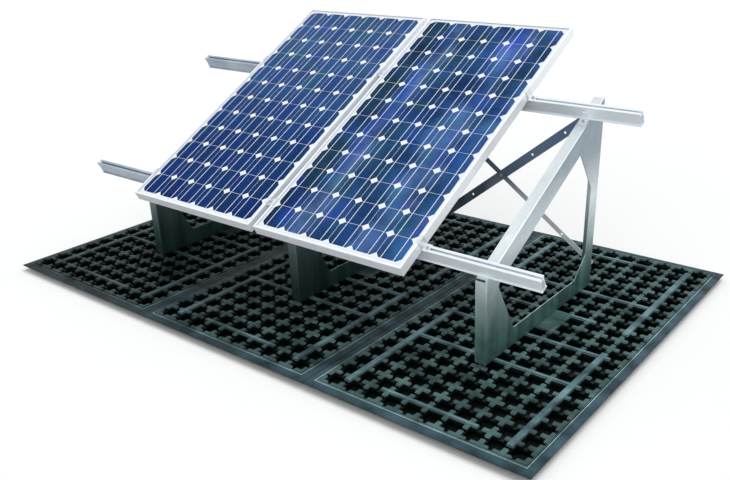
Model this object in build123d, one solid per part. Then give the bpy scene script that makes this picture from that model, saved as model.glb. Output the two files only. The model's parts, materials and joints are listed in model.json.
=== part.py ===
from build123d import *
import math
import os

# Solar ballast mount: three ballast boards, three folded support frames, two rails and two modules.
# Frame: origin on the ground under the middle board, X along the rails, Y to the back, Z up.

# ------------------------------------------------------------------ driving sizes, mm and degrees
# Base boards, thermoformed trays laid side by side along X
board_pitch = 1000.0
board_gap = 2.0
board_length = 2000.0
board_height = 40.0
board_floor = 4.0
board_corner_radius = 10.0
flange_width = 41.5
flange_top = 32.0
flange_fall = 1.5
flange_sheet = 3.0
bead_height = 2.5
bead_width = 4.0
bead_groove = 5.0
cup_pitch = 90.0
cup_columns = 10
cup_rows = 21
cup_wall = 17.0
cup_draft = 3.0
long_rib_width = 27.0
long_rib_offset = 4
long_rib_end = 9
pad_first_row = 10
pad_rows = 2
pad_recess = 1.5

# Support frames, each folded from one sheet
sheet = 3.0
fold_radius = 4.0
support_flange = 50.0
support_web_offset = 23.0
support_front = -485.0
support_front_lean = 2.0
support_rear = 490.0
corner_relief = 7.0
window_strip_slope = 87.0
window_strip_rear = 79.0
window_strip_bottom = 84.0
window_strip_front = 219.0
window_front_corner = 78.0
window_rear_corner = 102.0
window_rear_rise = 96.0
window_apex_run = 136.0
window_apex_drop = 186.0
window_radius = 12.0

# Modules, tilted on the supports
tilt = 28.5
module_low_edge = -660.0
module_low_height = 454.0
array_centre = -90.0
module_width = 808.0
module_length = 1580.0
module_depth = 46.0
module_gap = 30.0
bar_wall = 2.5
bar_lip = 11.0
bar_lip_sheet = 1.5
bar_foot = 28.0
bar_foot_sheet = 2.0
glass_clearance = 0.5
glass_sheet = 3.2
cell_size = 125.0
cell_pitch = 127.0
cell_sheet = 0.5
cell_columns = 6
cell_rows = 12
backsheet_sheet = 1.3
junction_box_width = 110.0
junction_box_length = 90.0
junction_box_depth = 20.0
junction_box_setback = 90.0

# Rails, extruded
rail_length = 2680.0
rail_centre = -90.0
rail_width = 38.0
rail_height = 65.0
rail_setback = 141.0
rail_spacing = 946.0
rail_wall = 2.2
rail_lip = 3.0
rail_recess = 5.0
rail_brow = 8.0
rail_brow_recess = 2.0
rail_slot = 10.0
rail_slot_cavity = 22.0
rail_slot_depth = 10.0

# Clamps
clamp_sheet = 4.0
rail_clamp_foot = 37.0
rail_clamp_foot_width = 35.0
rail_clamp_upright = 30.0
rail_clamp_upright_width = 22.0
rail_clamp_clearance = 1.0
module_clamp_sheet = 3.0
module_clamp_length = 40.0
module_clamp_overlap = 10.0
module_clamp_clearance = 0.5
mid_clamp_depth = 12.0
end_clamp_foot = 30.0
channel_nut_size = 20.0
channel_nut_depth = 6.0

# Braces behind the right-hand bay
brace_long_width = 45.0
brace_long_sheet = 4.0
brace_long_low = 80.0
brace_long_high = 890.0
brace_short_width = 25.0
brace_short_sheet = 3.0
brace_short_low = 164.0
brace_short_high = 869.0
brace_short_overrun = 30.0
brace_end = 22.0
brace_leg_clearance = 6.0
brace_hole = 12.0
brace_hole_pitch = 208.0
brace_holes = 5

# Fasteners
bolt_diameter = 8.0
bolt_clearance = 1.0
bolt_head_flats = 13.0
bolt_head_height = 5.5
nut_height = 6.5
bolt_overrun = 3.0
base_bolt_row = 4.5
base_bolt_length = 24.0

# ------------------------------------------------------------------ sizes worked out from them
COS = math.cos(math.radians(tilt))
SIN = math.sin(math.radians(tilt))
TAN = math.tan(math.radians(tilt))
board_width = board_pitch - board_gap
bay = board_pitch
sides = {"left": -bay, "middle": 0.0, "right": bay}
body_width = board_width - 2 * flange_width
body_length = cup_rows * cup_pitch + cup_wall
tie = module_depth + rail_height
web_outer = support_web_offset
flange_middle = web_outer - support_flange / 2
rail_bolt_line = rail_width / 2
rail_fronts = {"lower": rail_setback, "upper": rail_setback + rail_spacing}
clamp_sides = {"lower": 1, "upper": -1}
rail_clamp_bolt_line = -rail_clamp_clearance - rail_clamp_foot / 2
hole_diameter = bolt_diameter + bolt_clearance
array_half = module_gap / 2 + module_width
laminate_top = -bar_lip_sheet
cell_top = laminate_top - glass_sheet
backsheet_top = cell_top - cell_sheet
laminate_bottom = backsheet_top - backsheet_sheet


def at_slope(s, h):
    """(y, z) of a point s up the slope from the modules' low edge and h above their top face."""
    return module_low_edge + s * COS - h * SIN, module_low_height + s * SIN + h * COS


def slope_line(y, h):
    """Height at y of the line that runs parallel to the modules, h above their top face."""
    return module_low_height + h / COS + TAN * (y - module_low_edge)


def cross_slope(x, s, h):
    """Plane across the slope: X runs up the slope, Y away from it, and it extrudes along +X."""
    y, z = at_slope(s, h)
    return Plane(origin=(x, y, z), x_dir=(0, COS, SIN), z_dir=(1, 0, 0))


def on_slope(x, s, h):
    """Plane parallel to the modules: X along the rails, Y up the slope, Z away from it."""
    y, z = at_slope(s, h)
    return Plane(origin=(x, y, z), x_dir=(1, 0, 0), z_dir=(0, -SIN, COS))


def slab(width, length, low, high):
    """A plate centred on the Z axis between two heights."""
    return Pos(0, 0, low) * Box(width, length, high - low, align=(Align.CENTER, Align.CENTER, Align.MIN))


def area(*corners):
    """Flat face with these corners, facing up whichever way round they are given."""
    return make_face(Polyline(*corners, close=True))


def hex_bolt(seat, length):
    """Bolt whose head stands on the seat plane and whose shank goes down through it."""
    head = extrude(seat * RegularPolygon(bolt_head_flats / 2, 6, major_radius=False), bolt_head_height)
    shank = extrude(seat * Circle(bolt_diameter / 2), -length)
    return head + shank


def hex_nut(seat):
    """Nut that hangs below the seat plane."""
    profile = RegularPolygon(bolt_head_flats / 2, 6, major_radius=False) - Circle(bolt_diameter / 2)
    return extrude(seat * profile, -nut_height)


# ------------------------------------------------------------------ base boards
def cup_line(index, count):
    """Place of wall number index in a centred grid with count cups."""
    return (index - count / 2) * cup_pitch


def wall_half(column, row):
    """Half the width of the wall on grid line column beside cup row."""
    centre = cup_columns / 2
    on_rib = abs(abs(column - centre) - long_rib_offset) < 0.1
    in_front = 1 <= row < long_rib_end
    behind = cup_rows - long_rib_end <= row < cup_rows - 1
    return long_rib_width / 2 if on_rib and (in_front or behind) else cup_wall / 2


def make_cup(width, length):
    """One drafted cup, its mouth on z = 0."""
    return extrude(Rectangle(width, length), board_floor - board_height, taper=cup_draft)


def base_bolt_places():
    """(x, y) of the two screws that hold a support's foot to the board, from the board's centre."""
    return [(flange_middle, sign * base_bolt_row * cup_pitch) for sign in (-1, 1)]


def make_board():
    """Tray with drafted cups between its walls, long ribs, a bare pad and a falling outer flange."""
    inner_width = body_width + 2 * (bead_groove + bead_width)
    inner_length = body_length + 2 * (bead_groove + bead_width)
    flat = flange_top - flange_fall
    outline = RectangleRounded(board_width, board_length, board_corner_radius)
    board = extrude(Pos(0, 0, flat - flange_sheet) * outline, flange_sheet)
    rise = Rectangle(inner_width, inner_length)
    board += loft([Pos(0, 0, flat) * Rectangle(board_width - 2 * board_corner_radius,
                                               board_length - 2 * board_corner_radius),
                   Pos(0, 0, flange_top) * rise])
    bead = Rectangle(inner_width, inner_length)
    bead -= Rectangle(inner_width - 2 * bead_width, inner_length - 2 * bead_width)
    board += extrude(Pos(0, 0, flange_top - flange_sheet) * bead, flange_sheet + bead_height)
    board += slab(body_width, body_length, 0, board_height)
    shapes = {}
    cups = []
    for column in range(cup_columns):
        for row in range(cup_rows):
            over_pad = column == cup_columns // 2 and 0 <= row - pad_first_row < pad_rows
            if over_pad:
                continue
            left = cup_line(column, cup_columns) + wall_half(column, row)
            right = cup_line(column + 1, cup_columns) - wall_half(column + 1, row)
            width = right - left
            length = cup_pitch - cup_wall
            if width not in shapes:
                shapes[width] = make_cup(width, length)
            middle = cup_line(row + 0.5, cup_rows)
            cups.append(Pos((left + right) / 2, middle, board_height) * shapes[width])
    board -= cups
    pad_left = web_outer + module_clamp_sheet
    pad_right = cup_pitch + cup_wall / 2
    pad_middle = cup_line(pad_first_row + pad_rows / 2, cup_rows)
    board -= Pos((pad_left + pad_right) / 2, pad_middle, board_height) * Box(
        pad_right - pad_left, pad_rows * cup_pitch, 2 * pad_recess)
    for x, y in base_bolt_places():
        board -= Pos(x, y, board_height) * Cylinder(bolt_diameter / 2, 2 * base_bolt_length)
    return board


# ------------------------------------------------------------------ support frames
def support_outline():
    """(y, z) corners of the folded sheet: front foot, front top, rear apex, rear foot."""
    lean = math.tan(math.radians(support_front_lean))
    base = slope_line(support_front, -tie) - board_height
    run = base * lean / (1 + lean * TAN)
    front_top = support_front - run
    return [(support_front, board_height), (front_top, slope_line(front_top, -tie)),
            (support_rear, slope_line(support_rear, -tie)), (support_rear, board_height)]


def window_outline():
    """(y, z) corners of the cut-out in the web."""
    line = -tie - window_strip_slope
    rear = support_rear - window_strip_rear
    low = board_height + window_strip_bottom
    front = support_front + window_front_corner
    apex = rear - window_apex_run
    apex_height = slope_line(apex, line)
    return [(support_front + window_strip_front, low), (front, slope_line(front, line)),
            (apex, apex_height), (rear, apex_height - window_apex_drop),
            (rear, low + window_rear_rise), (rear - window_rear_corner, low)]


def make_support():
    """Web with four flanges folded to one side, a cut-out, corner reliefs and bolt holes."""
    open_side = web_outer - support_flange
    section = area(*support_outline())
    blank = extrude(Plane.YZ.offset(open_side) * section, support_flange)
    blank = fillet(blank.faces().sort_by(Axis.X)[-1].edges(), fold_radius)
    hollow = extrude(Plane.YZ.offset(open_side) * offset(section, -sheet, kind=Kind.INTERSECTION),
                     support_flange - sheet)
    hollow = fillet(hollow.faces().sort_by(Axis.X)[-1].edges(), fold_radius - sheet)
    frame = blank - hollow
    window = area(*window_outline())
    window = fillet(window.vertices(), window_radius)
    frame -= extrude(Plane.YZ.offset(open_side) * window, support_flange)
    for corner in support_outline():
        relief = Pos(*corner) * Rectangle(2 * corner_relief, 2 * corner_relief)
        frame -= extrude(Plane.YZ.offset(open_side) * relief, support_flange - sheet - fold_radius)
    for x, y in base_bolt_places():
        frame -= Pos(x, y, board_height) * Cylinder(hole_diameter / 2, 3 * sheet)
    for level, front in rail_fronts.items():
        seat = rail_clamp_seat(flange_middle, front, clamp_sides[level], -tie)
        frame -= extrude(seat * Circle(hole_diameter / 2), 2 * sheet, both=True)
    return frame


# ------------------------------------------------------------------ rails
def make_rail(front):
    """Hollow extrusion with a slot on top, recessed webs and a thin bottom lip on either side."""
    slot_left = (rail_width - rail_slot) / 2
    cavity_left = (rail_width - rail_slot_cavity) / 2
    lip_under = rail_height - rail_lip
    cavity_floor = lip_under - rail_slot_depth
    brow = rail_height - rail_brow
    flank = [(0, 0), (0, rail_lip), (rail_recess, rail_lip), (rail_recess, brow),
             (rail_brow_recess, brow), (rail_brow_recess, rail_height), (slot_left, rail_height),
             (slot_left, lip_under), (cavity_left, lip_under), (cavity_left, cavity_floor)]
    mirrored = [(rail_width - w, t) for w, t in reversed(flank)]
    outer = area(*flank, *mirrored)
    near = rail_recess + rail_wall
    far = rail_width - near
    roof = cavity_floor - rail_wall
    chamber = area((near, rail_lip), (far, rail_lip), (far, roof), (near, roof))
    plane = cross_slope(rail_centre - rail_length / 2, front, -tie)
    return extrude(plane * (outer - chamber), rail_length)


# ------------------------------------------------------------------ rail clamps
def beside_rail(w, side):
    """Distance from a rail's front of a point w in from its front (-1) or rear (1) edge."""
    return w if side < 0 else rail_width - w


def make_rail_clamp(x, front, side):
    """Folded clamp: its foot lies on the support, steps over the rail's lip and turns up the web."""
    back = rail_recess
    face = back - clamp_sheet
    top = rail_lip + rail_clamp_upright
    step = -rail_clamp_clearance
    toe = step - rail_clamp_foot
    corners = [(back, rail_lip), (back, top), (face, top), (face, rail_lip + clamp_sheet),
               (step - clamp_sheet, rail_lip + clamp_sheet), (step - clamp_sheet, clamp_sheet),
               (toe, clamp_sheet), (toe, 0), (step, 0), (step, rail_lip)]
    profile = area(*[(beside_rail(w, side), t) for w, t in corners])
    half = rail_clamp_foot_width / 2
    clamp = extrude(cross_slope(x - half, front, -tie) * profile, rail_clamp_foot_width)
    shoulder = (rail_clamp_foot_width - rail_clamp_upright_width) / 2
    lug = Pos(beside_rail((back + face) / 2, side), rail_lip + clamp_sheet + rail_clamp_upright / 2)
    waste = lug * Rectangle(2 * clamp_sheet, rail_clamp_upright)
    clamp -= extrude(cross_slope(x - half, front, -tie) * waste, shoulder)
    clamp -= extrude(cross_slope(x + half - shoulder, front, -tie) * waste, shoulder)
    clamp -= extrude(rail_clamp_seat(x, front, side, -tie) * Circle(hole_diameter / 2), 2 * clamp_sheet)
    return clamp


def rail_clamp_seat(x, front, side, h):
    """Plane through a rail clamp's bolt at a height h above the modules."""
    return on_slope(x, front + beside_rail(rail_clamp_bolt_line, side), h)


def make_rail_clamp_bolt(x, front, side):
    """Bolt down through the clamp's foot and the support's top flange."""
    seat = rail_clamp_seat(x, front, side, clamp_sheet - tie)
    return hex_bolt(seat, clamp_sheet + sheet + nut_height + bolt_overrun)


def make_rail_clamp_nut(x, front, side):
    """Nut under the support's top flange."""
    return hex_nut(rail_clamp_seat(x, front, side, -tie - sheet))


# ------------------------------------------------------------------ modules
def make_bar(length):
    """Mitred frame bar along +X with its outer face on y = 0 and its top on z = 0."""
    bed = laminate_bottom
    section = area((0, 0), (bar_lip, 0), (bar_lip, laminate_top), (bar_wall, laminate_top),
                      (bar_wall, bed), (bar_lip, bed), (bar_lip, bed - bar_foot_sheet),
                      (bar_wall, bed - bar_foot_sheet), (bar_wall, bar_foot_sheet - module_depth),
                      (bar_foot, bar_foot_sheet - module_depth), (bar_foot, -module_depth),
                      (0, -module_depth))
    plane = Plane(origin=(0, 0, 0), x_dir=(0, 1, 0), z_dir=(1, 0, 0))
    bar = extrude(plane * section, length)
    mitre = area((0, 0), (length, 0), (length - bar_foot, bar_foot), (bar_foot, bar_foot))
    return bar & extrude(mitre, module_depth, both=True)


def make_module():
    """The pieces of one module, with the top face on z = 0 and its low left corner at the origin."""
    glass_inset = bar_wall + glass_clearance
    glass_width = module_width - 2 * glass_inset
    glass_length = module_length - 2 * glass_inset
    middle = Pos(module_width / 2, module_length / 2, 0)
    cell = Box(cell_size, cell_size, cell_sheet, align=(Align.CENTER, Align.CENTER, Align.MAX))
    cells = [middle * Pos((i - (cell_columns - 1) / 2) * cell_pitch,
                          (j - (cell_rows - 1) / 2) * cell_pitch, cell_top) * cell
             for i in range(cell_columns) for j in range(cell_rows)]
    box_place = Pos(module_width / 2, module_length - junction_box_setback - junction_box_length / 2,
                    laminate_bottom)
    lid_step = junction_box_depth / 4
    box_outline = RectangleRounded(junction_box_width, junction_box_length, lid_step)
    lid_outline = RectangleRounded(junction_box_width - 2 * lid_step,
                                   junction_box_length - 2 * lid_step, lid_step)
    junction_box = extrude(box_outline, lid_step - junction_box_depth) + extrude(
        lid_outline, -junction_box_depth)
    return {
        "low_bar": make_bar(module_width),
        "high_bar": Pos(module_width, module_length, 0) * Rot(0, 0, 180) * make_bar(module_width),
        "left_bar": Pos(0, module_length, 0) * Rot(0, 0, -90) * make_bar(module_length),
        "right_bar": Pos(module_width, 0, 0) * Rot(0, 0, 90) * make_bar(module_length),
        "glass": middle * slab(glass_width, glass_length, cell_top, laminate_top),
        "cells": Compound(children=cells),
        "backsheet": middle * slab(glass_width, glass_length, laminate_bottom, backsheet_top),
        "junction_box": box_place * junction_box,
    }


# ------------------------------------------------------------------ module clamps
def clamp_plane(front):
    """Plane across the rails through the middle of a module clamp: X along the rail, Y away from it."""
    s = front + rail_bolt_line + module_clamp_length / 2
    y, z = at_slope(s, 0)
    return Plane(origin=(array_centre, y, z), x_dir=(1, 0, 0), z_dir=(0, -COS, -SIN))


def clamp_hole(x, front):
    """Bolt hole through a module clamp."""
    seat = on_slope(array_centre + x, front + rail_bolt_line, 0)
    return extrude(seat * Circle(hole_diameter / 2), 2 * module_depth, both=True)


def make_mid_clamp(front):
    """Hat-shaped clamp that sits in the gap and bears on both modules."""
    t = module_clamp_sheet
    wide = module_gap / 2 + module_clamp_overlap
    inner = module_gap / 2 - 2 * module_clamp_clearance
    profile = area((-wide, t), (t - inner, t), (t - inner, t - mid_clamp_depth),
                      (inner - t, t - mid_clamp_depth), (inner - t, t), (wide, t), (wide, 0),
                      (inner, 0), (inner, -mid_clamp_depth), (-inner, -mid_clamp_depth), (-inner, 0),
                      (-wide, 0))
    return extrude(clamp_plane(front) * profile, module_clamp_length) - clamp_hole(0, front)


def make_end_clamp(side, front):
    """Z-shaped clamp that hooks over a module's outer side and stands on the rail."""
    t = module_clamp_sheet
    edge = array_half
    leg = edge + module_clamp_clearance
    corners = [(edge - module_clamp_overlap, t), (leg + t, t), (leg + t, t - module_depth),
               (leg + end_clamp_foot, t - module_depth), (leg + end_clamp_foot, -module_depth),
               (leg, -module_depth), (leg, 0), (edge - module_clamp_overlap, 0)]
    profile = area(*[(side * x, y) for x, y in corners])
    hole = clamp_hole(side * end_bolt_place(), front)
    return extrude(clamp_plane(front) * profile, module_clamp_length) - hole


def end_bolt_place():
    """Distance of an end clamp's bolt from the middle of the array."""
    return array_half + module_clamp_clearance + (module_clamp_sheet + end_clamp_foot) / 2


def module_clamp_bolt(x, front, seat_height):
    """Bolt from a module clamp down into its channel nut."""
    seat = on_slope(array_centre + x, front + rail_bolt_line, seat_height)
    reach = seat_height + module_depth + rail_lip + channel_nut_depth
    return hex_bolt(seat, reach + bolt_overrun / 2)


def make_channel_nut(x, front):
    """Square nut held under the lips of the rail's slot."""
    seat = on_slope(array_centre + x, front + rail_bolt_line, -module_depth - rail_lip)
    profile = Rectangle(channel_nut_size, channel_nut_size) - Circle(bolt_diameter / 2)
    return extrude(seat * profile, -channel_nut_depth)


# ------------------------------------------------------------------ braces
brace_start = flange_middle
brace_finish = bay + flange_middle


def brace_plane(low_left, high_right, back):
    """Plane of a brace's rear face: X along the bar, Y up across it, extruding towards the front."""
    run = brace_finish - brace_start
    return Plane(origin=(brace_start, back, low_left), x_dir=(run, 0, high_right - low_left),
                 z_dir=(0, -1, 0))


def brace_span(low_left, high_right):
    """Distance between a brace's two end bolts."""
    return math.hypot(brace_finish - brace_start, high_right - low_left)


def brace_crossing():
    """Share of the run at which the two braces cross."""
    rise = brace_long_high - brace_long_low
    fall = brace_short_high - brace_short_low
    return (brace_short_high - brace_long_low) / (rise + fall)


def bolted_bar(profile, span):
    """Bar profile with its end and crossing bolt holes and a row of wider holes between them."""
    crossing = span * brace_crossing()
    for place in [(i - (brace_holes - 1) / 2) * brace_hole_pitch for i in range(brace_holes)]:
        if abs(place) > brace_hole:
            profile -= Pos(crossing + place, 0) * Circle(brace_hole / 2)
    for place in (0, crossing, span):
        profile -= Pos(place, 0) * Circle(hole_diameter / 2)
    return profile


def make_brace_long():
    """Flat bar from the middle post's foot to the right post's top."""
    span = brace_span(brace_long_low, brace_long_high)
    plane = brace_plane(brace_long_low, brace_long_high, support_rear + brace_long_sheet)
    bar = Pos(span / 2, 0) * Rectangle(span + 2 * brace_end, brace_long_width)
    return extrude(plane * bolted_bar(bar, span), brace_long_sheet)


def make_brace_short():
    """Angle from the middle post's top down past the right post, its second leg turned to the rear."""
    span = brace_span(brace_short_high, brace_short_low)
    back = support_rear + brace_long_sheet + brace_short_sheet
    plane = brace_plane(brace_short_high, brace_short_low, back)
    length = span + brace_short_overrun + brace_end
    middle = (span + brace_short_overrun - brace_end) / 2
    flat = Pos(middle, 0) * Rectangle(length, brace_short_width)
    edge = Pos(middle, (brace_short_sheet - brace_short_width) / 2)
    leg = extrude(plane * edge * Rectangle(length, brace_short_sheet), brace_short_sheet - brace_short_width)
    return extrude(plane * bolted_bar(flat, span), brace_short_sheet) + leg


def brace_bolt_places():
    """(x, z, front of the stack, depth behind the post's flange) of the five brace bolts."""
    middle = brace_start + (brace_finish - brace_start) * brace_crossing()
    height = brace_long_low + (brace_long_high - brace_long_low) * brace_crossing()
    inside = support_rear - sheet
    both = brace_short_sheet + brace_long_sheet
    return [(brace_start, brace_long_low, inside, brace_long_sheet),
            (brace_finish, brace_long_high, inside, brace_long_sheet),
            (brace_start, brace_short_high, inside, both),
            (brace_finish, brace_short_low, inside, both),
            (middle, height, support_rear, both)]


def make_brace_bolt(x, z, front, depth):
    """Bolt from behind through the brace and the support's rear flange."""
    back = support_rear + depth
    seat = Plane(origin=(x, back, z), x_dir=(-1, 0, 0), z_dir=(0, 1, 0))
    return hex_bolt(seat, back - front + nut_height + bolt_overrun)


def make_brace_nut(x, z, front):
    """Nut on the front side of a brace bolt."""
    return hex_nut(Plane(origin=(x, front, z), x_dir=(-1, 0, 0), z_dir=(0, 1, 0)))


def make_spacer(x, z):
    """Disc between the short brace and a post's rear flange."""
    seat = Plane(origin=(x, support_rear, z), x_dir=(-1, 0, 0), z_dir=(0, 1, 0))
    disc = Circle(brace_short_width / 2) - Circle(hole_diameter / 2)
    return extrude(seat * disc, brace_long_sheet)


# ------------------------------------------------------------------ assembly
nodes = {}
board = make_board()
support = make_support()
brace_holes_in_post = {"left": [], "middle": [], "right": []}
for x, z, front, depth in brace_bolt_places():
    if front < support_rear:
        post = "middle" if x == brace_start else "right"
        brace_holes_in_post[post].append((x, z))
for side, x in sides.items():
    nodes["base_board_" + side] = Pos(x, 0, 0) * board
    frame = Pos(x, 0, 0) * support
    for hole_x, z in brace_holes_in_post[side]:
        bore = Pos(hole_x, support_rear, z) * Rot(90, 0, 0) * Cylinder(hole_diameter / 2, 3 * sheet)
        frame -= bore
    nodes["support_frame_" + side] = frame

module_pieces = make_module()
for side, x in (("left", -array_half), ("right", module_gap / 2)):
    place = on_slope(array_centre + x, 0, 0).location
    for name, piece in module_pieces.items():
        nodes["module_" + side + "_" + name] = place * piece

for level, front in rail_fronts.items():
    nodes["rail_" + level] = make_rail(front)
    nodes["mid_clamp_" + level] = make_mid_clamp(front)
    for side, sign in (("left", -1), ("right", 1)):
        nodes["end_clamp_" + level + "_" + side] = make_end_clamp(sign, front)
    for side, x in sides.items():
        clamp = make_rail_clamp(x + flange_middle, front, clamp_sides[level])
        nodes["rail_clamp_" + level + "_" + side] = clamp

crossings = [(x + flange_middle, front, clamp_sides[level])
             for x in sides.values() for level, front in rail_fronts.items()]
nodes["rail_clamp_bolts"] = Compound(children=[make_rail_clamp_bolt(*place) for place in crossings])
nodes["rail_clamp_nuts"] = Compound(children=[make_rail_clamp_nut(*place) for place in crossings])

clamp_bolts = []
channel_nuts = []
for front in rail_fronts.values():
    clamp_bolts.append(module_clamp_bolt(0, front, module_clamp_sheet - mid_clamp_depth))
    channel_nuts.append(make_channel_nut(0, front))
    for sign in (-1, 1):
        place = sign * end_bolt_place()
        clamp_bolts.append(module_clamp_bolt(place, front, module_clamp_sheet - module_depth))
        channel_nuts.append(make_channel_nut(place, front))
nodes["module_clamp_bolts"] = Compound(children=clamp_bolts)
nodes["channel_nuts"] = Compound(children=channel_nuts)

base_bolts = []
for x in sides.values():
    for bolt_x, bolt_y in base_bolt_places():
        seat = Plane(origin=(x + bolt_x, bolt_y, board_height + sheet))
        base_bolts.append(hex_bolt(seat, base_bolt_length))
nodes["base_bolts"] = Compound(children=base_bolts)

nodes["brace_long"] = make_brace_long()
nodes["brace_short"] = make_brace_short()
nodes["brace_bolts"] = Compound(children=[make_brace_bolt(*place) for place in brace_bolt_places()])
nodes["brace_nuts"] = Compound(children=[make_brace_nut(*place[:3]) for place in brace_bolt_places()])
nodes["brace_spacers"] = Compound(children=[make_spacer(brace_start, brace_short_high),
                                            make_spacer(brace_finish, brace_short_low)])

os.makedirs("parts", exist_ok=True)
for name, shape in nodes.items():
    export_step(shape, "parts/" + name + ".step")
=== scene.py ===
import json
import math

import bpy
import numpy as np
from mathutils import Euler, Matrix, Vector


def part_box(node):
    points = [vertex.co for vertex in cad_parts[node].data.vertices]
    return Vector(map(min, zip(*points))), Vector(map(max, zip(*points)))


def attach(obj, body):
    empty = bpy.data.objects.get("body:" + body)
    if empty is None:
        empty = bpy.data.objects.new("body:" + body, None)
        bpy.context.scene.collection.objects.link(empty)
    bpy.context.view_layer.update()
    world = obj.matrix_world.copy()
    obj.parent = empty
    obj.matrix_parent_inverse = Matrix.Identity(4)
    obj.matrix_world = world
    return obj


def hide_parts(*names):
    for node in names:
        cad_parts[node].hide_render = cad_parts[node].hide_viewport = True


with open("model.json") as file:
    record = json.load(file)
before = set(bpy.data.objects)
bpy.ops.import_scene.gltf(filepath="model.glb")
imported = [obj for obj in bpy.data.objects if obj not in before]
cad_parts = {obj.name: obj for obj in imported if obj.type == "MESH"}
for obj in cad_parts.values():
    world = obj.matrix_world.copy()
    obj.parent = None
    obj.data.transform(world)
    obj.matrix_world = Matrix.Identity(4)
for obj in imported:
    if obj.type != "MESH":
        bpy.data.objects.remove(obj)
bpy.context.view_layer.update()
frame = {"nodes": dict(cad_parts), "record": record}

# ------------------------------------------------------------------ sizes of the boards, metres
BOARDS = ("left", "middle", "right")
CUP_PITCH = 0.090
CUP_COLUMNS = 10
CUP_ROWS = 21
WALL_HALF = 0.0085
RIB_HALF = 0.0135
ARM = 0.0345
ARM_END = 0.0015
EDGE = 0.0018
EDGE_DROP = 0.0012
DRAFT = 0.0019
BOARD_TOP = 0.040
CROSS_TOP = 0.0393
SADDLE = 0.021
CUP_FLOOR = 0.004
PAD_TOP = 0.0388
GROOVE = 0.029
GROOVE_START = 0.0015
GROOVE_END = 0.0045
BEAD_TOP = 0.0345
BEAD_START = 0.006
BEAD_END = 0.008
BEAD_EDGE = 0.001
FLANGE = 0.0415
FLANGE_TOP = 0.032
FLANGE_EDGE = 0.0308
FLANGE_LIP = 0.0302
FLANGE_LIP_WIDTH = 0.0015
FLANGE_UNDER = 0.0275

# Ribs and pad, by the numbers of the grid lines; reaches are in cups to each side of the middle
RIB_COLUMNS = (1, 9)
LONG_RIBS = ((1, 9), (12, 20))
FULL_CROSS_RIBS = (6, 9, 15)
FULL_REACH = 4
SHORT_CROSS_RIBS = (1, 12, 20)
SHORT_REACH = 2
PAD_ROW = 10
PAD_ROWS = 2

# Tolerance of comparisons, the decimals that match it, and a height below everything
HAIR = 1e-6
HAIR_DECIMALS = 6
NOTHING_THERE = -1.0

# ------------------------------------------------------------------ sizes of the cells, metres
CELL = 0.125
CELL_THICK = 0.0005
UNDER_GLASS = 0.0001
CELL_COLUMNS = 6
CELL_ROWS = 12
CELL_CORNER = 0.019
RIBBON = 0.0030
RIBBON_THICK = 0.0002
RIBBON_OFFSETS = (-0.031, 0.031)
MODULES = ("left", "right")

# ------------------------------------------------------------------ camera and light
# Place in metres, turn in degrees, lens and sensor in millimetres
CAMERA_PLACE = (2.4948, -3.0588, 1.7525)
CAMERA_TURN = (68.428, 1.202, 38.388)
CAMERA_LENS = 41.4
CAMERA_SENSOR = 36.0

FLOOR_SIZE = 80.0
FLOOR_LEVEL = -0.0005

# The sky that the camera and mirrors see, and the sky that lights the object
SEEN_SKY = (1.0, 1.0, 1.0, 1.0)
SEEN_STRENGTH = 1.0
LIT_SKY = (0.94, 0.97, 1.0, 1.0)
LIT_STRENGTH = 0.58

# Broad lamps: name, energy, spread and turn in degrees
SUNS = (("overhead", 1.2, 50, (-14, 10, 0)), ("front_fill", 1.0, 90, (75, 0, 18)))


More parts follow.
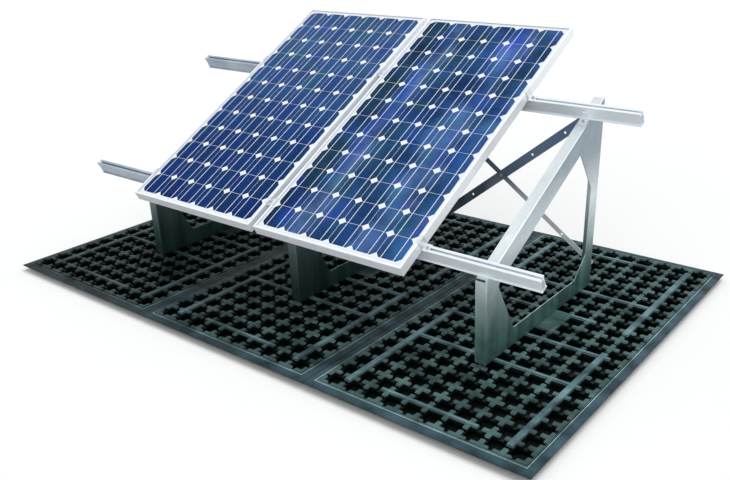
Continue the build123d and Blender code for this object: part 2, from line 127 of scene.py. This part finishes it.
# ------------------------------------------------------------------ node helpers
class Look:
    """A procedural material and short calls for the nodes it is made of."""

    def __init__(self, name, roughness, metallic=0.0, specular=0.5):
        self.material = bpy.data.materials.new(name)
        self.material.use_nodes = True
        self.nodes = self.material.node_tree.nodes
        self.links = self.material.node_tree.links
        self.shader = self.nodes["Principled BSDF"]
        self.shader.inputs["Roughness"].default_value = roughness
        self.shader.inputs["Metallic"].default_value = metallic
        self.shader.inputs["Specular IOR Level"].default_value = specular
        self.place = self.nodes.new("ShaderNodeTexCoord").outputs["Object"]

    def join(self, source, node, socket):
        self.links.new(source, node.inputs[socket])

    def stretch(self, scale):
        """Object coordinates scaled apart along the axes."""
        node = self.nodes.new("ShaderNodeMapping")
        node.inputs["Scale"].default_value = scale
        self.join(self.place, node, "Vector")
        return node.outputs["Vector"]

    def noise(self, scale, detail=3.0, along=(1, 1, 1)):
        node = self.nodes.new("ShaderNodeTexNoise")
        node.inputs["Scale"].default_value = scale
        node.inputs["Detail"].default_value = detail
        self.join(self.stretch(along), node, "Vector")
        return node.outputs["Fac"]

    def voronoi(self, scale):
        node = self.nodes.new("ShaderNodeTexVoronoi")
        node.inputs["Scale"].default_value = scale
        self.join(self.place, node, "Vector")
        return node.outputs["Color"]

    def squares(self, scale):
        """A colour of its own for every square of an even grid."""
        node = self.nodes.new("ShaderNodeTexVoronoi")
        node.distance = "CHEBYCHEV"
        node.inputs["Scale"].default_value = scale
        node.inputs["Randomness"].default_value = 0.0
        self.join(self.place, node, "Vector")
        return node.outputs["Color"]

    def bands(self, scale):
        """Even bands that lie across the Y axis."""
        node = self.nodes.new("ShaderNodeTexWave")
        node.bands_direction = "Y"
        node.inputs["Scale"].default_value = scale
        self.join(self.place, node, "Vector")
        return node.outputs["Fac"]

    def grey(self, source):
        node = self.nodes.new("ShaderNodeRGBToBW")
        self.join(source, node, "Color")
        return node.outputs["Val"]

    def part_of(self, vector, name):
        node = self.nodes.new("ShaderNodeSeparateXYZ")
        self.join(vector, node, "Vector")
        return node.outputs[name]

    def axis(self, name):
        """One object coordinate."""
        return self.part_of(self.place, name)

    def facing(self, name):
        """One axis of the surface's own direction."""
        geometry = self.nodes.new("ShaderNodeNewGeometry")
        return self.part_of(geometry.outputs["True Normal"], name)

    def reckon(self, operation, first, second):
        node = self.nodes.new("ShaderNodeMath")
        node.operation = operation
        self.join(first, node, 0)
        self.join(second, node, 1)
        return node.outputs[0]

    def spread(self, source, low, high, to_low=0.0, to_high=1.0):
        """Maps a value from one range to another and clamps it."""
        node = self.nodes.new("ShaderNodeMapRange")
        node.inputs["From Min"].default_value = low
        node.inputs["From Max"].default_value = high
        node.inputs["To Min"].default_value = to_low
        node.inputs["To Max"].default_value = to_high
        self.join(source, node, "Value")
        return node.outputs["Result"]

    def ramp(self, source, *stops):
        """Colours along a value: each stop is (place, (r, g, b))."""
        node = self.nodes.new("ShaderNodeValToRGB")
        elements = node.color_ramp.elements
        while len(elements) < len(stops):
            elements.new(0.5)
        for element, (place, colour) in zip(elements, stops):
            element.position = place
            element.color = (*colour, 1.0)
        self.join(source, node, "Fac")
        return node.outputs["Color"]

    def mix(self, factor, first, second, how="MIX"):
        node = self.nodes.new("ShaderNodeMix")
        node.data_type = "RGBA"
        node.blend_type = how
        if isinstance(factor, float):
            node.inputs["Factor"].default_value = factor
        else:
            self.links.new(factor, node.inputs["Factor"])
        for value, socket in ((first, node.inputs[6]), (second, node.inputs[7])):
            if isinstance(value, tuple):
                socket.default_value = (*value, 1.0)
            else:
                self.links.new(value, socket)
        return node.outputs[2]

    def tint(self, *colours):
        """The product of several colours."""
        product = colours[0]
        for factor in colours[1:]:
            product = self.mix(1.0, product, factor, "MULTIPLY")
        return product

    def colour(self, source):
        self.join(source, self.shader, "Base Color")

    def rough(self, source, low, high):
        self.join(self.spread(source, 0.3, 0.7, low, high), self.shader, "Roughness")

    def bump(self, source, strength, distance):
        node = self.nodes.new("ShaderNodeBump")
        node.inputs["Strength"].default_value = strength
        node.inputs["Distance"].default_value = distance
        self.join(source, node, "Height")
        self.join(node.outputs["Normal"], self.shader, "Normal")


# ------------------------------------------------------------------ materials
def board_look():
    """Black plastic with painted light: painted shade in the cups, saddles and groove, painted highlights
    on the cross edges and bead, painted sky reflection on the flange, tops and ribs. Each stop of its ramp
    is a share of the board's height.
    """
    look = Look("board_plastic", 0.5, specular=0.1)
    tone_and_painted_light = look.ramp(
        look.spread(look.axis("Z"), 0.0, BOARD_TOP),
        # Cups and the lower walls, near black: painted shade in the recesses
        (0.0, (0.001, 0.002, 0.002)), (0.48, (0.001, 0.002, 0.002)),
        # Saddles and the upper walls: painted shade between the crosses
        (0.53, (0.005, 0.013, 0.011)), (0.70, (0.003, 0.006, 0.006)),
        # Groove in painted shade, flange in its own dark teal with painted sky reflection, a painted
        # highlight on the bead, then what lies above the bead
        (0.73, (0.003, 0.005, 0.005)), (0.755, (0.024, 0.052, 0.064)),
        (0.82, (0.038, 0.074, 0.090)), (0.86, (0.34, 0.50, 0.50)), (0.89, (0.002, 0.004, 0.004)),
        # Edges and tops of the crosses: a painted highlight ring on the edges, painted sky reflection on
        # the tops
        (0.952, (0.006, 0.013, 0.012)), (0.959, (0.27, 0.40, 0.39)),
        (0.967, (0.048, 0.095, 0.092)), (0.984, (0.046, 0.098, 0.088)),
        # Ribs, paler: painted sky reflection on their wide tops
        (1.0, (0.090, 0.165, 0.180)))
    patches = look.mix(look.spread(look.noise(9.0, 5.0), 0.32, 0.68),
                       (0.35, 0.4, 0.4), (2.0, 1.9, 1.95))
    # Painted shade: the boards darken towards the left, under the modules.
    board_painted_shade = look.mix(look.spread(look.axis("X"), -0.9, 0.9), (0.36, 0.34, 0.33), (1.0, 1.0, 1.0))
    look.colour(look.tint(tone_and_painted_light, patches, board_painted_shade))
    look.rough(look.noise(30.0), 0.4, 0.6)
    look.bump(look.noise(450.0, 2.0), 0.12, 0.001)
    return look


def sheet_look():
    """Zinc coated sheet with fine spangle and painted light: a painted reflection of the boards low down,
    paler faces that look up, painted upright reflections on the lower web and painted shade on the
    supports to the left.
    """
    look = Look("galvanised_sheet", 0.3, metallic=0.75)
    # Partly the sheet's own grey, partly painted: a dark teal reflection of the boards low down, a painted
    # bright band at mid height, duller above.
    body = look.ramp(
        look.axis("Z"),
        (0.0, (0.10, 0.22, 0.20)), (0.14, (0.15, 0.28, 0.26)), (0.30, (0.36, 0.45, 0.45)),
        (0.50, (0.66, 0.73, 0.76)), (0.72, (0.29, 0.35, 0.38)), (1.0, (0.25, 0.31, 0.37)))
    # Painted light: faces that look up, such as the slope, are paler.
    painted_light_upward = look.spread(look.facing("Z"), 0.55, 0.8, 0.0, 0.75)
    body = look.mix(painted_light_upward, body, (0.70, 0.75, 0.76))
    spangle = look.grey(look.mix(0.5, look.voronoi(38.0), look.voronoi(90.0)))
    grain = look.mix(spangle, (0.90, 0.91, 0.92), (1.06, 1.06, 1.05))
    stain = look.mix(look.noise(5.0, 5.0, (1, 1, 0.5)), (0.84, 0.88, 0.88), (1.12, 1.10, 1.12))
    # Painted shade: the left and middle supports, under the modules, are darker.
    sheet_painted_shade = look.mix(look.spread(look.axis("X"), 0.15, 0.7), (0.30, 0.33, 0.33), (1.0, 1.0, 1.0))
    # Painted reflection of the boards: soft upright streaks, faded out above the lower web.
    streaks = look.mix(look.spread(look.noise(16.0, 3.0, (1, 1, 0.06)), 0.35, 0.65),
                       (0.62, 0.64, 0.64), (1.35, 1.42, 1.38))
    streaks = look.mix(look.spread(look.axis("Z"), 0.18, 0.34), streaks, (1.0, 1.0, 1.0))
    look.colour(look.tint(body, grain, stain, sheet_painted_shade, streaks))
    look.rough(look.noise(25.0), 0.34, 0.46)
    look.bump(look.noise(60.0, 3.0, (1, 1, 0.2)), 0.04, 0.0005)
    return look


def metal_look(name, roughness, metallic, tone_and_painted_light):
    """Extruded metal with fine streaks along the X axis. Its colour ramp runs across the object's width
    and carries painted light and shade.
    """
    look = Look(name, roughness, metallic=metallic)
    streaks = look.noise(400.0, 3.0, (0.03, 1, 1))
    # Painted light and shade: the given ramp along X, darker at one end and paler at the other.
    body = look.ramp(look.spread(look.axis("X"), -1.5, 1.5), *tone_and_painted_light)
    clouds = look.spread(look.noise(6.0, 3.0), 0.3, 0.7, 0.0, 0.25)
    body = look.mix(clouds, body, (0.92, 0.95, 0.98))
    look.colour(look.mix(look.spread(streaks, 0.3, 0.7, 0.0, 0.10), body, (0.96, 0.98, 1.0)))
    look.rough(streaks, roughness - 0.04, roughness + 0.04)
    look.bump(streaks, 0.02, 0.0003)
    return look


def cell_look(name, base):
    """Silicon under glass: squares of uneven tone and fine grid fingers over a base colour."""
    look = Look(name, 0.3, specular=0.02)
    tone = look.mix(0.30, (1.1, 1.1, 1.1), look.squares(8.6))
    tone_and_painted_light = look.tint(base(look), tone)
    fingers = look.spread(look.bands(140.0), 0.4, 1.0, 0.0, 0.10)
    look.colour(look.mix(fingers, tone_and_painted_light, (0.030, 0.100, 0.280)))
    look.rough(look.noise(9.0), 0.24, 0.34)
    return look


def navy(look):
    """Deep blue with a painted sheen that pales up the slope."""
    # Painted sheen: the blue pales up the slope.
    rise = look.ramp(look.axis("Z"), (0.46, (0.002, 0.027, 0.140)), (0.72, (0.006, 0.045, 0.175)),
                     (0.88, (0.022, 0.082, 0.240)), (1.0, (0.032, 0.098, 0.260)))
    clouds = look.mix(look.noise(5.0, 3.0), (0.62, 0.70, 0.72), (1.35, 1.22, 1.26))
    return look.tint(rise, clouds)


def blue_with_painted_reflections(look):
    """Dark teal, royal blue and grey blue in soft streaks that run up the slope: painted reflections over
    the blue cells.
    """
    wander = look.spread(look.noise(3.2, 3.0), 0.3, 0.7, -0.055, 0.055)
    across = look.reckon("ADD", look.axis("X"), wander)
    # Painted reflections: streaks of teal and grey blue across the cells.
    streaks = look.ramp(
        look.spread(across, -0.06, 0.72),
        (0.0, (0.006, 0.032, 0.075)), (0.14, (0.008, 0.040, 0.090)), (0.21, (0.018, 0.075, 0.290)),
        (0.29, (0.062, 0.140, 0.320)), (0.36, (0.014, 0.062, 0.160)), (0.50, (0.010, 0.052, 0.140)),
        (0.60, (0.012, 0.058, 0.210)), (0.70, (0.050, 0.135, 0.360)), (0.80, (0.048, 0.115, 0.300)),
        (0.88, (0.014, 0.062, 0.170)), (1.0, (0.032, 0.100, 0.280)))
    # Painted reflections: soft clouds, brighter and darker.
    clouds = look.mix(look.spread(look.noise(4.5, 4.0), 0.34, 0.66),
                      (0.40, 0.52, 0.55), (1.9, 1.65, 1.5))
    royal = look.spread(look.noise(3.0, 3.0, (2.2, 1.0, 1.0)), 0.55, 0.72, 0.0, 0.5)
    return look.mix(royal, look.tint(streaks, clouds), (0.012, 0.060, 0.50))


def glass_look():
    """Nearly clear glass with a breath of blue."""
    look = Look("module_glass", 0.05, specular=0.1)
    look.colour(look.mix(look.noise(3.0), (0.02, 0.08, 0.22), (0.05, 0.13, 0.32)))
    look.shader.inputs["Alpha"].default_value = 0.03
    look.rough(look.noise(5.0), 0.05, 0.10)
    return look


def brace_look():
    """Dark rolled steel with painted light: brighter towards the right and a painted highlight on its
    right foot.
    """
    look = Look("brace_steel", 0.3, metallic=0.3)
    # Painted light: the steel brightens towards the right.
    body = look.ramp(look.spread(look.axis("X"), -0.1, 0.9), (0.0, (0.040, 0.062, 0.085)),
                     (0.5, (0.050, 0.085, 0.125)), (0.8, (0.13, 0.22, 0.34)))
    # Painted highlight: near white on the lower part of the right foot.
    painted_highlight_foot = look.reckon("MULTIPLY", look.spread(look.axis("X"), 0.42, 0.55),
                       look.spread(look.axis("Z"), 0.50, 0.36))
    body = look.mix(painted_highlight_foot, body, (0.88, 0.92, 0.94))
    scale = look.spread(look.noise(14.0, 4.0), 0.4, 0.7, 0.0, 0.3)
    look.colour(look.mix(scale, body, (0.20, 0.26, 0.32)))
    look.rough(look.noise(30.0), 0.26, 0.4)
    look.bump(look.noise(360.0, 2.0), 0.08, 0.0005)
    return look


def plain_look(name, low, high, roughness, scale=60.0, metallic=0.0):
    """A surface that is almost plain: a slow change of tone and a fine grain."""
    look = Look(name, roughness, metallic=metallic)
    look.colour(look.mix(look.noise(scale / 10.0), low, high))
    look.rough(look.noise(scale), roughness - 0.06, roughness + 0.06)
    look.bump(look.noise(scale * 12.0, 2.0), 0.08, 0.0005)
    return look


looks = {
    "board_plastic": board_look(),
    "galvanised_sheet": sheet_look(),
    "module_frame": metal_look("module_frame", 0.3, 0.3,
                               ((0.0, (0.90, 0.94, 0.99)), (1.0, (0.92, 0.95, 0.98)))),
    "module_glass": glass_look(),
    "backsheet": plain_look("backsheet", (0.93, 0.96, 0.98), (0.96, 0.98, 1.0), 0.4),
    "box_plastic": plain_look("box_plastic", (0.012, 0.012, 0.014), (0.02, 0.02, 0.023), 0.45),
    # Rails: painted shade towards the left end, painted light towards the right end.
    "rail_metal": metal_look("rail_metal", 0.3, 0.15,
                             ((0.0, (0.20, 0.29, 0.38)), (0.25, (0.26, 0.34, 0.42)),
                              (0.6, (0.74, 0.81, 0.86)), (1.0, (0.84, 0.90, 0.94)))),
    "clamp_metal": metal_look("clamp_metal", 0.3, 0.5,
                              ((0.0, (0.66, 0.71, 0.75)), (1.0, (0.76, 0.80, 0.83)))),
    "brace_steel": brace_look(),
    "fastener_steel": plain_look("fastener_steel", (0.34, 0.34, 0.35), (0.48, 0.48, 0.50), 0.35,
                                 scale=200.0, metallic=0.6),
    "ribbon": plain_look("ribbon", (0.82, 0.90, 1.0), (0.90, 0.95, 1.0), 0.35),
}
cell_looks = {"left": cell_look("solar_cell_left", navy),
              "right": cell_look("solar_cell_right", blue_with_painted_reflections)}


def dress_nodes():
    """Gives each solid of the frame the look of its slot; the scene's own cells replace the solid ones."""
    slot_of = {row["node"]: row["material_slot"] for row in frame["record"]["subparts"]}
    for name, node in frame["nodes"].items():
        slot = slot_of[name]
        look = cell_looks["left"] if slot == "solar_cell" else looks[slot]
        node.data.materials.clear()
        node.data.materials.append(look.material)


def add_piece(name, vertices, faces, look, replaced=None):
    """Makes a mesh piece of the object that rides on its one body."""
    mesh = bpy.data.meshes.new(name)
    mesh.from_pydata(vertices, [], faces)
    mesh.validate()
    mesh.materials.append(look.material)
    piece = bpy.data.objects.new(name, mesh)
    bpy.context.scene.collection.objects.link(piece)
    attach(piece, "root")
    if replaced:
        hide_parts(replaced)


# ------------------------------------------------------------------ base boards
def stud_line(index, count):
    """Place of grid line number index in a centred grid with count cups."""
    return (index - count / 2) * CUP_PITCH


def fold_places(count, half_outer, half_body, rib_lines=()):
    """Places of every fold of the board along one axis, in no order and some of them twice."""
    for index in range(count + 1):
        halves = {WALL_HALF, RIB_HALF} if index in rib_lines else {WALL_HALF}
        offsets = [ARM - EDGE, ARM, ARM + ARM_END]
        for half in halves:
            offsets += [half - EDGE, half, half + DRAFT]
        for offset in offsets:
            for place in (stud_line(index, count) - offset, stud_line(index, count) + offset):
                if abs(place) < half_body - 2 * EDGE:
                    yield place
    for offset in [-EDGE] + [distance for distance, _ in outer_profile(half_outer - half_body)]:
        yield -half_body - offset
        yield half_body + offset


def grid_lines(*board):
    """The board's folds along one axis, each once and in order."""
    return sorted(set(round(place, HAIR_DECIMALS) for place in fold_places(*board)))


def outer_profile(width):
    """(distance outside the body, height) of the groove, the bead and the falling flange."""
    return [(0.0, BOARD_TOP - EDGE_DROP), (GROOVE_START, GROOVE), (GROOVE_END, GROOVE),
            (BEAD_START - BEAD_EDGE, BEAD_TOP - BEAD_EDGE), (BEAD_START, BEAD_TOP),
            (BEAD_END, BEAD_TOP), (BEAD_END + BEAD_EDGE, FLANGE_TOP),
            (width - FLANGE_LIP_WIDTH, FLANGE_EDGE), (width, FLANGE_LIP)]


def slab_edge(distance, top):
    """Height of a raised piece at a signed distance outside its edge."""
    softened = np.where(distance <= HAIR, top - EDGE_DROP, NOTHING_THERE)
    return np.where(distance <= HAIR - EDGE, top, softened)


def board_height(x, y, half_body, half_outer):
    """Height of the board's upper face at local points."""
    column = np.clip(np.rint(x / CUP_PITCH + CUP_COLUMNS / 2), 0, CUP_COLUMNS)
    row = np.clip(np.rint(y / CUP_PITCH + CUP_ROWS / 2), 0, CUP_ROWS)
    # Distances from the nearest grid lines
    aside = np.abs(x - stud_line(column, CUP_COLUMNS))
    ahead = np.abs(y - stud_line(row, CUP_ROWS))
    cross = np.minimum(np.maximum(aside - WALL_HALF, ahead - ARM),
                       np.maximum(aside - ARM, ahead - WALL_HALF))
    z = np.maximum(slab_edge(cross, CROSS_TOP), CUP_FLOOR)
    on_wall = np.minimum(aside, ahead) <= WALL_HALF + HAIR
    z = np.maximum(z, np.where(on_wall, SADDLE, CUP_FLOOR))
    for rib in RIB_COLUMNS:
        for first, last in LONG_RIBS:
            middle = (stud_line(first, CUP_ROWS) + stud_line(last, CUP_ROWS)) / 2
            half = (last - first) * CUP_PITCH / 2 + ARM
            beside = np.abs(x - stud_line(rib, CUP_COLUMNS)) - RIB_HALF
            z = np.maximum(z, slab_edge(np.maximum(beside, np.abs(y - middle) - half), BOARD_TOP))
    for rows, reach in ((FULL_CROSS_RIBS, FULL_REACH), (SHORT_CROSS_RIBS, SHORT_REACH)):
        for index in rows:
            beside = np.abs(y - stud_line(index, CUP_ROWS)) - WALL_HALF
            half = reach * CUP_PITCH + ARM
            z = np.maximum(z, slab_edge(np.maximum(beside, np.abs(x) - half), BOARD_TOP))
    pad_x = CUP_PITCH / 2
    pad_y = (stud_line(PAD_ROW, CUP_ROWS) + stud_line(PAD_ROW + PAD_ROWS, CUP_ROWS)) / 2
    pad = np.maximum(np.abs(x - pad_x) - CUP_PITCH / 2 - WALL_HALF,
                     np.abs(y - pad_y) - PAD_ROWS * CUP_PITCH / 2 - WALL_HALF)
    inside_pad = np.maximum(np.abs(x - pad_x) - CUP_PITCH / 2 + WALL_HALF,
                            np.abs(y - pad_y) - PAD_ROWS * CUP_PITCH / 2 + WALL_HALF)
    z = np.maximum(z, slab_edge(pad, BOARD_TOP))
    z = np.where(inside_pad <= DRAFT, PAD_TOP, z)
    outside = np.maximum(np.abs(x) - half_body[0], np.abs(y) - half_body[1])
    distances, heights = zip(*outer_profile(half_outer[0] - half_body[0]))
    rim = np.interp(outside, distances, heights)
    return np.where(outside >= -HAIR, rim, z)


def outline_ring(columns, rows):
    """Numbers of the vertices round a grid that was numbered row by row within each column."""
    ring = [column * rows for column in range(columns)]
    ring += [(columns - 1) * rows + row for row in range(1, rows)]
    ring += [column * rows + rows - 1 for column in range(columns - 2, -1, -1)]
    return ring + list(range(rows - 2, 0, -1))


def make_board(side):
    """The whole tray: crosses, saddles, cups, ribs and pad on top, flange and body below."""
    low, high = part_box("base_board_" + side)
    middle = (low + high) / 2
    half_outer = ((high.x - low.x) / 2, (high.y - low.y) / 2)
    half_body = (half_outer[0] - FLANGE, (CUP_ROWS * CUP_PITCH) / 2 + WALL_HALF)
    xs = grid_lines(CUP_COLUMNS, half_outer[0], half_body[0], RIB_COLUMNS)
    ys = grid_lines(CUP_ROWS, half_outer[1], half_body[1])
    grid_x, grid_y = np.meshgrid(np.array(xs), np.array(ys), indexing="ij")
    grid_z = board_height(grid_x, grid_y, half_body, half_outer)
    columns, rows = len(xs), len(ys)
    vertices = np.stack([grid_x + middle.x, grid_y + middle.y, grid_z], -1).reshape(-1, 3).tolist()
    faces = []
    for column in range(columns - 1):
        for row in range(rows - 1):
            first = column * rows + row
            faces.append((first, first + rows, first + rows + 1, first + 1))
    # From the outline down: the flange's edge, its underside, the body's wall and the base
    ring = outline_ring(columns, rows)
    count = len(ring)
    previous = ring
    for inset, height in ((False, FLANGE_UNDER), (True, FLANGE_UNDER), (True, 0.0)):
        start = len(vertices)
        for index in ring:
            x, y = vertices[index][0] - middle.x, vertices[index][1] - middle.y
            if inset:
                x = max(-half_body[0], min(half_body[0], x))
                y = max(-half_body[1], min(half_body[1], y))
            vertices.append((x + middle.x, y + middle.y, height))
        current = list(range(start, start + count))
        faces += [(previous[(k + 1) % count], previous[k], current[k], current[(k + 1) % count])
                  for k in range(count)]
        previous = current
    faces.append(tuple(reversed(previous)))
    add_piece("board_" + side, vertices, faces, looks["board_plastic"],
              "base_board_" + side)


# ------------------------------------------------------------------ cells and ribbons
def module_axes(side):
    """Low left corner of the cells' upper face, the way up the slope and the way out of it."""
    low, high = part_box("module_" + side + "_cells")
    tilt = math.atan2(high.z - low.z, high.y - low.y)
    up = Vector((0, math.cos(tilt), math.sin(tilt)))
    out = Vector((0, -math.sin(tilt), math.cos(tilt)))
    origin = Vector((low.x, low.y, low.z + CELL_THICK * math.cos(tilt)))
    pitch = (high.x - low.x - CELL) / (CELL_COLUMNS - 1)
    return origin, up, out, pitch


def plate(vertices, faces, outline, origin, up, out, top, thick):
    """Adds a thin plate with the given outline, in (across, up the slope) pairs."""
    start = len(vertices)
    count = len(outline)
    for height in (top, top - thick):
        for across, along in outline:
            vertices.append(origin + Vector((across, 0, 0)) + up * along + out * height)
    faces.append(tuple(start + k for k in range(count)))
    faces.append(tuple(start + count + k for k in reversed(range(count))))
    faces += [(start + k, start + count + k, start + count + (k + 1) % count, start + (k + 1) % count)
              for k in range(count)]


def make_cells(side):
    """The module's cells, squares with cut corners."""
    origin, up, out, pitch = module_axes(side)
    low, high = CELL_CORNER, CELL - CELL_CORNER
    octagon = [(low, 0), (high, 0), (CELL, low), (CELL, high), (high, CELL), (low, CELL),
               (0, high), (0, low)]
    vertices, faces = [], []
    for column in range(CELL_COLUMNS):
        for row in range(CELL_ROWS):
            outline = [(column * pitch + across, row * pitch + along) for across, along in octagon]
            plate(vertices, faces, outline, origin, up, out, -UNDER_GLASS, CELL_THICK - UNDER_GLASS)
    add_piece("cell_plates_" + side, vertices, faces, cell_looks[side],
              "module_" + side + "_cells")


def make_ribbons(side):
    """The two ribbons that run along each string of cells."""
    origin, up, out, pitch = module_axes(side)
    length = (CELL_ROWS - 1) * pitch + CELL
    vertices, faces = [], []
    for column in range(CELL_COLUMNS):
        for offset in RIBBON_OFFSETS:
            middle = column * pitch + CELL / 2 + offset
            left, right = middle - RIBBON / 2, middle + RIBBON / 2
            outline = [(left, 0), (right, 0), (right, length), (left, length)]
            plate(vertices, faces, outline, origin, up, out, RIBBON_THICK, RIBBON_THICK + UNDER_GLASS)
    add_piece("cell_ribbons_" + side, vertices, faces, looks["ribbon"])


# ------------------------------------------------------------------ floor, light and camera
def make_floor():
    """A wide pale floor."""
    bpy.ops.mesh.primitive_plane_add(size=FLOOR_SIZE, location=(0, 0, FLOOR_LEVEL))
    floor = bpy.context.object
    floor.name = "floor"
    look = Look("floor", 0.9, specular=0.1)
    look.colour(look.mix(look.noise(0.6), (0.985, 0.98, 0.965), (1.0, 0.99, 0.975)))
    floor.data.materials.append(look.material)


def make_light():
    """Soft light from all round, a broad lamp from above and a weaker one from the front."""
    world = bpy.data.worlds.new("studio")
    bpy.context.scene.world = world
    world.use_nodes = True
    nodes, links = world.node_tree.nodes, world.node_tree.links
    nodes.clear()
    backgrounds = []
    for colour, strength in ((LIT_SKY, LIT_STRENGTH), (SEEN_SKY, SEEN_STRENGTH)):
        background = nodes.new("ShaderNodeBackground")
        background.inputs["Color"].default_value = colour
        background.inputs["Strength"].default_value = strength
        backgrounds.append(background)
    path = nodes.new("ShaderNodeLightPath")
    shown = path.outputs["Is Camera Ray"]
    for ray in ("Is Glossy Ray", "Is Transmission Ray"):
        either = nodes.new("ShaderNodeMath")
        either.operation = "MAXIMUM"
        links.new(shown, either.inputs[0])
        links.new(path.outputs[ray], either.inputs[1])
        shown = either.outputs[0]
    mix = nodes.new("ShaderNodeMixShader")
    output = nodes.new("ShaderNodeOutputWorld")
    links.new(shown, mix.inputs[0])
    for background, socket in zip(backgrounds, (mix.inputs[1], mix.inputs[2])):
        links.new(background.outputs[0], socket)
    links.new(mix.outputs[0], output.inputs["Surface"])
    for name, energy, spread, turn in SUNS:
        sun = bpy.data.lights.new(name, "SUN")
        sun.energy = energy
        sun.angle = math.radians(spread)
        lamp = bpy.data.objects.new(name, sun)
        lamp.rotation_euler = Euler([math.radians(angle) for angle in turn])
        bpy.context.scene.collection.objects.link(lamp)


def make_camera():
    camera = bpy.data.cameras.new("camera")
    camera.lens = CAMERA_LENS
    camera.sensor_width = CAMERA_SENSOR
    holder = bpy.data.objects.new("camera", camera)
    holder.location = CAMERA_PLACE
    holder.rotation_euler = Euler([math.radians(angle) for angle in CAMERA_TURN])
    bpy.context.scene.collection.objects.link(holder)
    bpy.context.scene.camera = holder


dress_nodes()
for side in BOARDS:
    make_board(side)
for side in MODULES:
    make_cells(side)
    make_ribbons(side)
make_floor()
make_light()
make_camera()
bpy.context.scene.view_settings.view_transform = "Standard"
